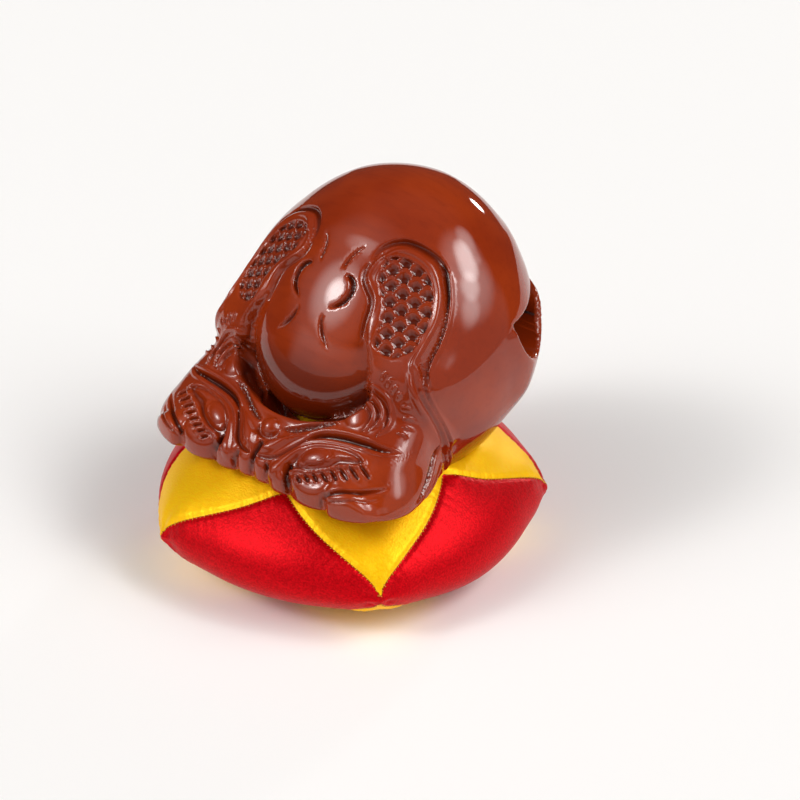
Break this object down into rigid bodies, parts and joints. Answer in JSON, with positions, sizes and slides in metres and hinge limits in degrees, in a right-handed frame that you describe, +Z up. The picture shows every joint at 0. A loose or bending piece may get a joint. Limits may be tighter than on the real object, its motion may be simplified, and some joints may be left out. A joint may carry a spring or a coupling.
{
  "type": "wooden fish percussion block",
  "caption": "Round hollow wooden-fish percussion block carved with two fish heads, resting in a quilted round cushion.",
  "frame": {"origin": "middle of the cushion's flat underside, on the surface it stands on and in the bell's plane of symmetry", "axes": "+Z up, -Y towards the two fish heads, +Y towards the slit at the back, X across"},
  "size_m": [0.1318, 0.1339, 0.1228],
  "materials": {
    "lacquered_wood": "red-brown high-gloss lacquer",
    "satin": "yellow and red satin panels"
  },
  "bodies": {
    "root": {"wooden_fish": "lacquered_wood", "cushion": "satin"}
  },
  "joints": []
}
